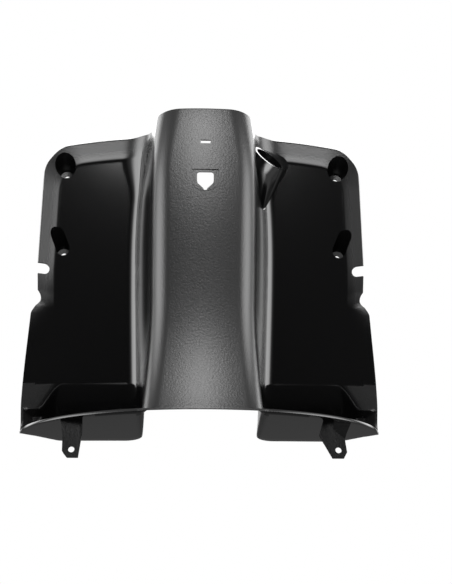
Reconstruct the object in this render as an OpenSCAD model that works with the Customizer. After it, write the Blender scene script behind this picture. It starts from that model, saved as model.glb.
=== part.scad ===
// Inner leg shield of a scooter: one thin-walled moulding in black plastic.
// The rider sits on the -Y side, +X is the rider's right, +Z is up.
// All depths are measured towards the rider from a plane through the foot of the
// well walls. The finished part has its origin midway between its two upper screws.

/* [Shell] */
// Wall thickness of the moulding
wall = 2.5; // [1.8:0.1:3.5]
// Half of the overall width, at the foot of the wings
half_width = 196; // [186:1:210]
// Height of the top edge above the floor edge
height = 300; // [290:1:320]
// Lean of the well walls towards the rider, in degrees
rake = 20; // [14:1:24]
// Depth from the wall plane to the front of the floor edge
rim_reach = 139; // [125:1:155]
// Slope of the floor, which rises away from the rider, in degrees
floor_draft = 2.4; // [1.5:0.1:4]

/* [Hump] */
// Half width of the hump's face between its shoulders
hump_half_w = 51; // [46:1:54]
// Extra half width of the face at the floor
hump_flare = 11; // [6:1:13]
// Half width lost by the face at the top
hump_taper = 5.5; // [3:0.5:8]
// Height at which the hump runs parallel to the wells
hump_mid_z = 165; // [140:1:190]
// Share of slope that the hump loses at its foot
hump_curl = 0.52; // [0.3:0.02:0.6]
// Radius of the hump's shoulders
shoulder_r = 18; // [10:1:20]
// Radius where the hump meets the wells
hump_foot_r = 12; // [6:1:14]
// Half width of the hump at the wells, half way up
hump_foot_half_w = 71.5; // [68:0.5:78]

/* [Wells] */
// Height of the outer and top walls in front of the well walls
flange_h = 7; // [5:0.5:12]
// Width of the outer wall at the upper screws
flange_w = 17.5; // [12:0.5:20]
// Width of the top wall
top_flange_w = 18; // [12:1:22]
// Outer radius of the top corners
corner_r = 24; // [18:1:30]
// Inner radius of the top corners
inner_corner_r = 24; // [16:1:30]
// Radius between the well walls and their outer and top walls
flange_r = 8; // [4:1:10]

/* [Toe boxes] */
// Height at which the toe boxes start to bulge forwards
toe_z = 57; // [50:1:64]
// Depth that the toe boxes gain down to the floor
toe_depth = 50; // [30:1:56]
// Half width between the upper ends of the toe boxes
toe_half_w = 155; // [148:1:160]
// Height of the toe boxes at the wings
toe_wing_z = 31; // [26:1:36]
// Half width between the outer walls of the toe boxes
toe_wing_half_w = 194; // [190:0.5:195]
// Radius between the floor and the toe boxes' back walls
toe_r = 14; // [8:1:16]

/* [Wings] */
// Half width at the waist between the upper walls and the wings
waist_half_w = 174.5; // [172:0.5:177]
// Height of the waist
waist_z = 144; // [138:1:150]
// Half width at the side notches
ear_half_w = 178; // [176:0.5:181]
// Depth of the side notches
notch_depth = 12; // [8:1:15]
// Height of the side notches
notch_h = 11; // [6:1:14]
// Height of the notches' middle above the floor
notch_z = 174; // [170:1:180]

/* [Screw cups] */
// Diameter of a screw hole
screw_d = 6; // [4:0.2:7]
// Diameter of a cup's floor
cup_floor_d = 15; // [12:0.5:18]
// Draft of a cup's side, in degrees
cup_draft = 8.5; // [6:0.5:11]
// Upward tilt of the upper cups towards their mouths, in degrees
cup_tilt = 5; // [2:1:9]
// Distance of the upper screws from the centre plane
upper_screw_x = 149; // [140:1:154]
// Height of the upper screws
upper_screw_z = 277; // [270:1:280]
// Depth of the upper cups' floors
upper_screw_depth = 79; // [70:1:90]
// Distance of the lower screws from the centre plane
lower_screw_x = 152; // [146:1:156]
// Height of the lower screws
lower_screw_z = 196.5; // [190:0.5:205]
// Depth of the lower cups' floors
lower_screw_depth = 50; // [44:1:54]
// Height that the lower cups gain towards their mouths
lower_cup_rise = 20; // [12:1:24]
// Distance that the lower cups move out towards their mouths
lower_cup_shift = 8; // [0:1:9]

/* [Lock] */
// Outer diameter of the lock's mouth
lock_d = 38; // [34:1:42]
// Diameter of the lock's bore
lock_bore_d = 32; // [24:1:34]
// Distance of the mouth's middle from the centre plane
lock_x = 70; // [66:1:74]
// Height of the mouth's middle
lock_z = 270; // [264:1:274]
// Depth of the mouth's middle
lock_depth = 150; // [144:1:156]
// Turn of the lock's axis to the right, in degrees
lock_turn = 44; // [36:1:50]
// Tilt of the lock's axis above the horizon, in degrees
lock_tilt = 36; // [28:1:44]

/* [Bag hook] */
// Distance of the hook recess from the centre plane
hook_x = 0.7; // [-4:0.1:4]
// Height of the hook recess above the floor
hook_z = 236; // [226:1:244]
// Width of the hook recess
hook_w = 27; // [20:1:34]
// Height of the hook recess, down to its tip
hook_h = 22; // [16:1:30]
// Width of the border round the hook's opening
hook_border = 5; // [3:0.5:7]
// Depth of the hook recess
hook_recess = 1.6; // [0.8:0.1:2]
// Width of the slot above the hook
slot_w = 10; // [6:0.5:16]
// Height of the slot above the hook
slot_h = 3.6; // [2:0.2:6]
// Height of the slot above the floor
slot_z = 264; // [258:1:272]

/* [Tabs] */
// Thickness of the lower fixing tabs
tab_t = 3; // [2:0.2:4]
// Width of a tab
tab_w = 21; // [16:1:26]
// Distance that a tab hangs below the floor
tab_drop = 40; // [34:1:50]
// Diameter of a tab's hole
tab_hole_d = 6.5; // [4:0.5:8]
// Distance of the tab holes below the floor
tab_hole_drop = 31.5; // [26:0.5:34]
// Distance of the left tab's hole from the centre plane
left_tab_x = 134; // [126:1:142]
// Distance of the right tab's hole from the centre plane
right_tab_x = 141; // [126:1:144]
// Depth of the tabs
tab_depth = 86; // [80:1:92]

/* [Hidden] */
plastic = [0.06, 0.06, 0.065];
// Facets of a full turn, and how far a cut passes through what it cuts
turn_fn = 64;
pass = 1;

// Rounding between a gentle surface and a steep one that rises from it
function fillet_max(flat, steep, slope, r) =
    let (angle = atan(slope), reach = r * tan(angle / 2), d = (steep - flat) / slope)
    d <= -reach ? flat
    : d >= reach * cos(angle) ? steep
    : flat + r - sqrt(max(0, r * r - pow(d + reach, 2)));
function fillet_min(flat, steep, slope, r) = -fillet_max(-flat, -steep, slope, r);
// Soft choice of the larger and of the smaller of two depths
function soft_max(a, b, width) =
    let (h = max(width - abs(a - b), 0)) max(a, b) + h * h / (4 * width);
function soft_min(a, b, width) = -soft_max(-a, -b, width);
function above(a) = max(a, 0);
function ease(t) = let (c = min(max(t, 0), 1)) c * c * (3 - 2 * c);
function mix(a, b, t) = a + (b - a) * t;

// Outline of the part, as half widths and heights
wing_bend_z = 33;
wing_bend_h = 87;
wing_loss = 9;
wing_power = 1.3;
ear_taper = 0.064;
waist_blend = 16;
waist_step_h = 14;
waist_dip = 8;
function wing_x(z) = half_width - wing_loss * pow(above(z - wing_bend_z) / wing_bend_h, wing_power);
function upper_x(z) = ear_half_w - ear_taper * above(z - notch_z);
function outline_x(z) =
    mix(wing_x(z), upper_x(z), ease((z - waist_z + waist_blend) / waist_step_h))
    - (ear_half_w - waist_half_w) * above(1 - pow((z - waist_z) / waist_dip, 2));
edge_from = 70;
edge_span = 85;
edge_rise = 6.7;
edge_fall = 9.5;
edge_power = 1.5;
rise_from = 44;
function top_z(x) =
    height + edge_rise * ease((abs(x) - rise_from) / (edge_from - rise_from))
    - edge_fall * pow(above(abs(x) - edge_from) / edge_span, edge_power);

// Depths of the surfaces that make up the rider's side
crown_r = half_width * half_width / rim_reach;
floor_slope = 1 / tan(floor_draft);
function raked(z) = z * tan(rake);
function rim_depth(x) = rim_reach * sqrt(above(1 - pow(x / half_width, 2)));
function rim_z(x) = (rim_reach - rim_depth(x)) / floor_slope;
function floor_depth(z) = rim_reach - z * floor_slope;
function hump_front(x, z) =
    rim_reach + raked(z) - x * x / (2 * crown_r)
    - hump_curl / (3 * pow(hump_mid_z, 2)) * (pow(z - hump_mid_z, 3) + pow(hump_mid_z, 3));
flare_z = 110;
flare_power = 1.5;
taper_z = 230;
shoulder_gain = 6;
function shoulder_x(z) =
    hump_half_w + hump_flare * pow(above(flare_z - z) / flare_z, flare_power)
    - hump_taper * pow(above(z - taper_z) / (height - taper_z), 2);
function shoulder_round(z) = shoulder_r + shoulder_gain * ease((z - taper_z) / (height - taper_z));
hump_foot_z = 180;
foot_loss_low = 5.5;
foot_loss_high = 10;
function foot_x(z) =
    hump_foot_half_w - (z < hump_foot_z
        ? foot_loss_low * pow((hump_foot_z - z) / hump_foot_z, 2)
        : foot_loss_high * pow((z - hump_foot_z) / (height - hump_foot_z), 2));

// Toe boxes: how far the surface falls back behind the well wall
toe_crease_slope = 0.7;
toe_straight = 0.35;
toe_side_slope = 1.2;
toe_ledge_slope = 1.6;
wing_side_slope = 0.9;
wing_depth = 9;
toe_soft = 5;
function toe_back(z) =
    let (t = above(toe_z - z) / toe_z)
    toe_depth * t * mix(t, 1, toe_straight);
function toe_fall(x, z) =
    let (
        side = (toe_half_w + (toe_z - z) * toe_crease_slope - abs(x)) * toe_side_slope,
        ledge = (toe_wing_z - z) * toe_ledge_slope,
        outer = (toe_wing_half_w - abs(x)) * wing_side_slope,
        lateral = soft_max(side, min(ledge, outer, wing_depth), toe_soft)
    )
    above(soft_min(toe_back(z), lateral, toe_soft));

// Outer and top walls of a well, as a rise in front of the well wall
flange_top_z = 190;
flange_foot_z = 85;
flange_max_x = 166;
least_slope = 0.01;
function flange_inner_x(z) = min(upper_x(above(z)) - flange_w, flange_max_x);
function flange_rise(x, z) =
    let (
        ax = abs(x),
        xo = outline_x(z),
        xi = flange_inner_x(z),
        zo = top_z(x),
        zi = zo - top_flange_w,
        sin_x = ax - xi + inner_corner_r,
        sin_z = z - zi + inner_corner_r,
        inside = sin_x > 0 && sin_z > 0
            ? norm([sin_x, sin_z]) - inner_corner_r
            : max(sin_x, sin_z) - inner_corner_r,
        out_x = ax - xo + corner_r,
        out_z = z - zo + corner_r,
        outside = out_x > 0 && out_z > 0
            ? corner_r - norm([out_x, out_z])
            : corner_r - max(out_x, out_z),
        rise = flange_h * ease((z - flange_foot_z) / (flange_top_z - flange_foot_z)),
        slope = max(rise / max(inside + outside, 1), least_slope)
    )
    fillet_max(0, inside * slope, slope, flange_r);

// The whole rider's side, as a depth over the frontal plane
least_r = 0.1;
foot_r_gain = 0.6;
crest_r_gain = 1.7;
crest_z = 245;
function foot_round(z) =
    hump_foot_r * (1 + foot_r_gain * above(1 - z / toe_z)
        + crest_r_gain * ease((z - crest_z) / (height - crest_z)));
function well_depth(x, z) =
    fillet_max(raked(z) - toe_fall(x, z), floor_depth(z), floor_slope, toe_r)
    + flange_rise(x, z);
function front_depth(x, z) =
    let (
        ax = abs(x),
        shoulder = hump_front(shoulder_x(z), z),
        slope = (shoulder - raked(z) + toe_back(z)) / (foot_x(z) - shoulder_x(z)),
        side = shoulder - (ax - shoulder_x(z)) * slope,
        hump = ax < shoulder_x(z) + shoulder_r
            ? fillet_min(hump_front(x, z), side, slope, shoulder_round(z))
            : side,
        well = well_depth(x, z),
        r = min(foot_round(z), above(shoulder - well) / 2)
    )
    r < least_r ? max(well, hump) : fillet_max(well, hump, slope, r);

// A point in the wall, at a distance behind the rider's side
step_x = 0.4;
step_z = 0.05;
function behind(x, z, distance) =
    let (
        gx = (front_depth(x + step_x, z) - front_depth(x - step_x, z)) / (2 * step_x),
        gz = (front_depth(x, z + step_z) - front_depth(x, z - step_z)) / (2 * step_z)
    )
    [x, -front_depth(x, z), z] + distance * [gx, 1, gz] / norm([gx, 1, gz]);

// Columns of the skin: half widths at a height, from the centre plane outwards
face_n = 4;
shoulder_n = 4;
side_n = 3;
foot_n = 4;
back_n = 6;
flange_n = 7;
foot_share = 0.8;
half_n = face_n + shoulder_n + side_n + foot_n + back_n + flange_n;
function spread(a, b, n) = [for (i = [1:n]) mix(a, b, i / n)];
function columns(z) =
    let (
        s = shoulder_x(z),
        f = foot_x(z),
        r = shoulder_round(z),
        reach = max(hump_foot_r, foot_share * foot_round(z)),
        inner = flange_inner_x(z) - flange_r / 2
    )
    concat(
        [0],
        spread(0, s - r, face_n),
        [for (i = [1:shoulder_n]) s - r * (1 - sin(90 * i / shoulder_n))],
        spread(s, f, side_n),
        [for (i = [1:foot_n]) f + reach * (1 - cos(90 * i / foot_n))],
        spread(f + reach, inner, back_n),
        spread(inner, outline_x(z), flange_n)
    );

// Rows of the skin: the floor, its rounding into the well walls, then the walls
floor_n = 5;
fillet_n = 4;
floor_top = 7.4;
toe_row = 6.2;
well_row = 14;
waist_row = 6;
upper_row = 17;
crest_row = 11;
corner_row = 7;
last_row = 3;
waist_below = 28;
waist_above = 12;
crest_h = 44;
corner_h = 25;
row_step = function (z)
    z < toe_z ? toe_row
    : z < waist_z - waist_below ? well_row
    : z < waist_z + waist_above ? waist_row
    : z < height - crest_h ? upper_row
    : z < height - corner_h ? crest_row : corner_row;
function rows_up(z) = z > height - last_row ? [height] : concat([z], rows_up(z + row_step(z)));
rows_wall = rows_up(floor_top + toe_r + toe_row);
row_n = floor_n + fillet_n + len(rows_wall);
function row_z(x, j) =
    j <= floor_n ? mix(rim_z(x), floor_top, j / floor_n)
    : j <= floor_n + fillet_n
        ? floor_top + (toe_r + 1) * (1 - cos(90 * (j - floor_n) / fillet_n))
        : rows_wall[j - floor_n - fillet_n - 1] * top_z(x) / height;

// The corner of the grid is pulled in to the round corner of the part
function rounded(p, q) = [p * sqrt(1 - q * q / 2), q * sqrt(1 - p * p / 2)];
function skin_point(i, j, distance) =
    let (
        x0 = columns(row_z(half_width, j))[abs(i)],
        z0 = row_z(x0, j),
        x1 = columns(z0)[abs(i)],
        edge = outline_x(z0),
        p = above(x1 - edge + corner_r) / corner_r,
        q = above(z0 - top_z(x1) + corner_r) / corner_r,
        pq = rounded(min(p, 1), min(q, 1)),
        round = p > 0 && q > 0,
        x = round ? edge - corner_r + corner_r * pq[0] : x1,
        z = round ? top_z(x1) - corner_r + corner_r * pq[1] : z0,
        at = behind(x, z, distance)
    )
    [(i < 0 ? -1 : 1) * at[0], at[1], at[2]];

// Closed solid between two grids of points, the first one on the rider's side
module between(front, back) {
    rows = len(front);
    cols = len(front[0]);
    at = function (i, j, far) j * cols + i + (far ? rows * cols : 0);
    points = concat([for (row = front) each row], [for (row = back) each row]);
    quads = concat(
        [for (j = [0:rows - 2], i = [0:cols - 2])
            [at(i, j, false), at(i, j + 1, false), at(i + 1, j + 1, false), at(i + 1, j, false)]],
        [for (j = [0:rows - 2], i = [0:cols - 2])
            [at(i, j, true), at(i + 1, j, true), at(i + 1, j + 1, true), at(i, j + 1, true)]],
        [for (i = [0:cols - 2])
            [at(i, 0, false), at(i + 1, 0, false), at(i + 1, 0, true), at(i, 0, true)]],
        [for (i = [0:cols - 2])
            [at(i + 1, rows - 1, false), at(i, rows - 1, false),
             at(i, rows - 1, true), at(i + 1, rows - 1, true)]],
        [for (j = [0:rows - 2])
            [at(0, j + 1, false), at(0, j, false), at(0, j, true), at(0, j + 1, true)]],
        [for (j = [0:rows - 2])
            [at(cols - 1, j, false), at(cols - 1, j + 1, false),
             at(cols - 1, j + 1, true), at(cols - 1, j, true)]]
    );
    polyhedron(points, [for (q = quads) each [[q[0], q[1], q[2]], [q[0], q[2], q[3]]]],
        convexity = 12);
}
function skin(distance) =
    [for (j = [0:row_n]) [for (i = [-half_n:half_n]) skin_point(i, j, distance)]];
module shell() {
    between(skin(0), skin(wall));
}

// Upper screw cups: drafted wells that reach back to the scooter's frame
cup_length = 45;
cup_span = 80;
upper_cup = [upper_screw_x, upper_screw_depth, upper_screw_z];
lower_cup = [lower_screw_x, lower_screw_depth, lower_screw_z];
module facing_rider(at) {
    translate([at[0], -at[1], at[2]]) rotate([90, 0, 0]) children();
}
module upper_cone(r, from) {
    low = from - r * tan(cup_tilt);
    facing_rider(upper_cup)
        intersection() {
            rotate([-cup_tilt, 0, 0])
                translate([0, 0, low])
                    cylinder(h = cup_length - low, r1 = r + low * tan(cup_draft),
                        r2 = r + cup_length * tan(cup_draft), $fn = turn_fn);
            translate([-cup_span / 2, -cup_span / 2, from]) cube(cup_span);
        }
}
// Lower screw cups: the mouth is drawn out upwards and sideways
lower_mouth = 42;
lower_fn = 24;
module lower_hull(r, from) {
    facing_rider(lower_cup)
        hull() {
            translate([0, 0, from]) cylinder(h = 1, r = r, $fn = lower_fn);
            translate([0, 0, lower_mouth]) cylinder(h = 1, r = r, $fn = lower_fn);
            translate([lower_cup_shift, lower_cup_rise, lower_mouth])
                cylinder(h = 1, r = r, $fn = lower_fn);
        }
}
// Everything behind the middle of the wall, round one cup
patch_w = 21;
patch_up = 33;
patch_down = 20;
patch_n = 9;
module wall_patch(cup) {
    top = min(cup[2] + patch_up, height - 1);
    bottom = cup[2] - patch_down;
    grid = [for (j = [0:patch_n]) [for (i = [0:patch_n])
        behind(cup[0] + patch_w * (2 * i / patch_n - 1), mix(bottom, top, j / patch_n), wall / 2)]];
    between(grid, [for (row = grid) [for (p = row) [p[0], 3 * wall - cup[1], p[2]]]]);
}
module screw_hole(cup) {
    facing_rider(cup)
        translate([0, 0, -wall - pass])
            cylinder(h = wall + 2 * pass, d = screw_d, $fn = turn_fn);
}
module both_sides() {
    children();
    mirror([1, 0, 0]) children();
}
module cup_bodies() {
    both_sides() {
        intersection() {
            upper_cone(cup_floor_d / 2 + wall, -wall);
            wall_patch(upper_cup);
        }
        intersection() {
            lower_hull(cup_floor_d / 2 + wall, -wall);
            wall_patch(lower_cup);
        }
    }
}
module cup_cuts() {
    both_sides() {
        upper_cone(cup_floor_d / 2, 0);
        lower_hull(cup_floor_d / 2, 0);
        screw_hole(upper_cup);
        screw_hole(lower_cup);
    }
}

// Lock boss: a ring on a fairing that swells out of the hump's side
ring_length = 12;
fairing_tail = [64, 110, 235];
fairing_tail_r = 6;
fairing_top = [85, 100, 286];
fairing_top_r = 10;
fairing_fn = 20;
hollow_reach = 60;
module along_lock(from, r, h, sides) {
    translate([lock_x, -lock_depth, lock_z])
        rotate([90 - lock_tilt, 0, lock_turn])
            translate([0, 0, from]) cylinder(r = r, h = h, $fn = sides);
}
module ball(at, r) {
    translate([at[0], -at[1], at[2]]) sphere(r = r, $fn = fairing_fn);
}
module fairing() {
    hull() {
        along_lock(-ring_length, lock_d / 2, ring_length, 2 * fairing_fn);
        ball(fairing_tail, fairing_tail_r);
        ball(fairing_top, fairing_top_r);
    }
}
module fairing_hollow() {
    hull()
        for (back = [0, hollow_reach])
            translate([0, back, 0]) {
                along_lock(-ring_length - 1, lock_d / 2 - wall, 1, 2 * fairing_fn);
                ball(fairing_tail, fairing_tail_r - wall);
                ball(fairing_top, fairing_top_r - wall);
            }
}
module lock_bore() {
    along_lock(-ring_length - 3 * pass, lock_bore_d / 2, ring_length + 4 * pass, turn_fn);
}

// Hook recess and slot: cut square to the hump's face, which curves across
hook_slope = atan((hump_front(0, hook_z) - hump_front(0, hook_z - hook_h)) / hook_h);
shield_side = 14;
shield_n = 8;
// Right half of the hook's opening, as shares of its half width and of its height
opening_half = [[0.76, 0], [0.93, 0.04], [1, 0.11], [1, 0.5], [0.9, 0.64], [0.54, 0.78],
    [0.26, 0.9], [0.15, 1]];
module recess_outline() {
    arc = [for (k = [0:2 * shield_n]) let (a = 90 * k / shield_n)
        [hook_w / 2 * cos(a), -shield_side - (hook_h - shield_side) * sin(a)]];
    polygon(concat([[-hook_w / 2, 0], [hook_w / 2, 0]], arc));
}
module opening_outline() {
    half_w = hook_w / 2 - hook_border;
    h = hook_h - hook_border / 2 + hook_recess / 2;
    polygon(concat(
        [for (p = opening_half) [p[0] * half_w, -hook_border / 2 - p[1] * (h - hook_border / 2)]],
        [for (k = [len(opening_half) - 1:-1:0]) let (p = opening_half[k])
            [-p[0] * half_w, -hook_border / 2 - p[1] * (h - hook_border / 2)]]
    ));
}
module on_face(x, z) {
    translate([x, -hump_front(0, z), z]) rotate([90 + hook_slope, 0, 0]) children();
}
cut_back = 4;
cut_front = 2;
module through_face() {
    translate([0, 0, -cut_back * wall]) linear_extrude((cut_back + cut_front) * wall) children();
}
module hook_cuts() {
    difference() {
        on_face(hook_x, hook_z) through_face() recess_outline();
        on_face(0, hook_z)
            translate([0, height / 2, -crown_r])
                rotate([90, 0, 0])
                    cylinder(r = crown_r - hook_recess, h = height, $fn = 4 * turn_fn);
    }
    on_face(hook_x, hook_z) through_face() opening_outline();
    on_face(hook_x, slot_z) through_face() square([slot_w, slot_h], center = true);
}

// Side notches with a round inner end
module notch_cuts() {
    both_sides()
        translate([ear_half_w - notch_depth + notch_h / 2, -half_width, notch_z])
            rotate([-90, 0, 0]) {
                cylinder(d = notch_h, h = half_width, $fn = turn_fn);
                translate([0, -notch_h / 2, 0]) cube([notch_depth + notch_h, notch_h, half_width]);
            }
}

// Lower fixing tabs, outlined from the middle of their holes' foot line
tab_root = 1;
tab_chamfer = 4.4;
left_outline = [[-12.5, tab_root], [-9.5, -17], [-9.5, -33], [-8, tab_chamfer - tab_drop],
    [-4.3, -tab_drop], [tab_w / 3, -tab_drop], [tab_w / 2, -14.5], [tab_w / 2, tab_root]];
right_outline = [[-14.5, tab_root], [-19.6, -16], [-6.3, -tab_drop], [5.5, -tab_drop],
    [8.8, 1.4 * tab_chamfer - tab_drop], [7, -20], [-5, -9], [-3.5, tab_root]];
module tab(x, outline) {
    translate([x, tab_t / 2 - tab_depth, 0])
        rotate([90, 0, 0])
            linear_extrude(tab_t)
                difference() {
                    polygon(outline);
                    translate([0, -tab_hole_drop]) circle(d = tab_hole_d, $fn = turn_fn);
                }
}
// Brace that folds back from the right tab to the floor's edge
brace_fall = 11;
brace_rows = [
    [[-3, -20, 0], [7, -20, 0]],
    [[-5, -9, 0], [10, -12, brace_fall / 2]],
    [[-4, tab_root, 0], [16, tab_root, brace_fall]]
];
module brace() {
    function placed(back) = [for (row = brace_rows) [for (p = row)
        [right_tab_x + p[0], p[2] - tab_depth - tab_t / 2 + back, p[1]]]];
    between(placed(0), placed(tab_t));
}

module leg_shield() {
    color(plastic)
        translate([0, upper_screw_depth, -upper_screw_z])
            difference() {
                union() {
                    shell();
                    cup_bodies();
                    fairing();
                    tab(-left_tab_x, left_outline);
                    tab(right_tab_x, right_outline);
                    brace();
                }
                cup_cuts();
                fairing_hollow();
                lock_bore();
                hook_cuts();
                notch_cuts();
            }
}
leg_shield();
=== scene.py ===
"""Dressed model of a scooter's inner leg shield, in its own frame.

The moulding is one piece. Its rider's side is a height field over the frontal
plane, so the dense skin is shaped from the same sizes as the solid. The screw
cups, the lock boss, the hook recess, the side notches and the fixing tabs are
modelled on it with operators and boolean modifiers.
"""

from __future__ import annotations

import logging
import math
from dataclasses import dataclass, field
from enum import Enum

import bpy
import numpy as np
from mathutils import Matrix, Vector

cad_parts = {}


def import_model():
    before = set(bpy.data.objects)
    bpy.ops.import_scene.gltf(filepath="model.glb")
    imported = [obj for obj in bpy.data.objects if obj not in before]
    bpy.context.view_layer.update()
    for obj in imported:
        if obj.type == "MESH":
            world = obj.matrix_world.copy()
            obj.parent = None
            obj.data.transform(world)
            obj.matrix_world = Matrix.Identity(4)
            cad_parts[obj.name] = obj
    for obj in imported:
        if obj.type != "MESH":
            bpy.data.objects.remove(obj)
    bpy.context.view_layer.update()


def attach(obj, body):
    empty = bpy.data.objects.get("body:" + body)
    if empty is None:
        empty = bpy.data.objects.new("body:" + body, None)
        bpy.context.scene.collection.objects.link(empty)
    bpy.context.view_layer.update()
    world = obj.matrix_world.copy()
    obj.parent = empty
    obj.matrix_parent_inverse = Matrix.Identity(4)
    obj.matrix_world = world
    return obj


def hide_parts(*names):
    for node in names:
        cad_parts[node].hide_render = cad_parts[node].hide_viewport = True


LOG = logging.getLogger("leg_shield")
NODE = "leg_shield"
RIDER = Vector((0, -1, 0))
Point = tuple[float, float, float]


class Cut(Enum):
    """How one solid is worked into another."""

    ADD = "UNION"
    TAKE = "DIFFERENCE"
    KEEP = "INTERSECT"


def fillet_max(
    flat: np.ndarray, steep: np.ndarray, slope: np.ndarray, radius: np.ndarray
) -> np.ndarray:
    """Rounds the foot of a steep surface that rises from a gentle one.

    Args:
        flat: Depth of the gentle surface.
        steep: Depth of the steep surface.
        slope: Slope of the steep surface against the gentle one.
        radius: Radius of the rounding.

    Returns:
        The depth of the joined surface.
    """
    angle = np.arctan(slope)
    reach = radius * np.tan(angle / 2)
    d = (steep - flat) / slope
    arc = flat + radius - np.sqrt(np.maximum(radius**2 - (d + reach) ** 2, 0))
    return np.where(d <= -reach, flat, np.where(d >= reach * np.cos(angle), steep, arc))


def fillet_min(
    flat: np.ndarray, steep: np.ndarray, slope: np.ndarray, radius: np.ndarray
) -> np.ndarray:
    """Rounds the edge over which a surface falls away steeply; see fillet_max."""
    return -fillet_max(-flat, -steep, slope, radius)


def soft_max(a: np.ndarray, b: np.ndarray, width: float) -> np.ndarray:
    """Gives the larger of two depths, eased over a width where they meet."""
    return np.maximum(a, b) + np.maximum(width - np.abs(a - b), 0) ** 2 / (4 * width)


def soft_min(a: np.ndarray, b: np.ndarray, width: float) -> np.ndarray:
    """Gives the smaller of two depths, eased over a width where they meet."""
    return -soft_max(-a, -b, width)


def above(a: np.ndarray) -> np.ndarray:
    """Gives a value, or nought where it is negative."""
    return np.maximum(a, 0)


def ease(t: np.ndarray) -> np.ndarray:
    """Gives a smooth step from nought to one."""
    c = np.clip(t, 0, 1)
    return c * c * (3 - 2 * c)


def mix(a: np.ndarray, b: np.ndarray, t: np.ndarray) -> np.ndarray:
    """Blends two values by a share."""
    return a + (b - a) * t


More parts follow.
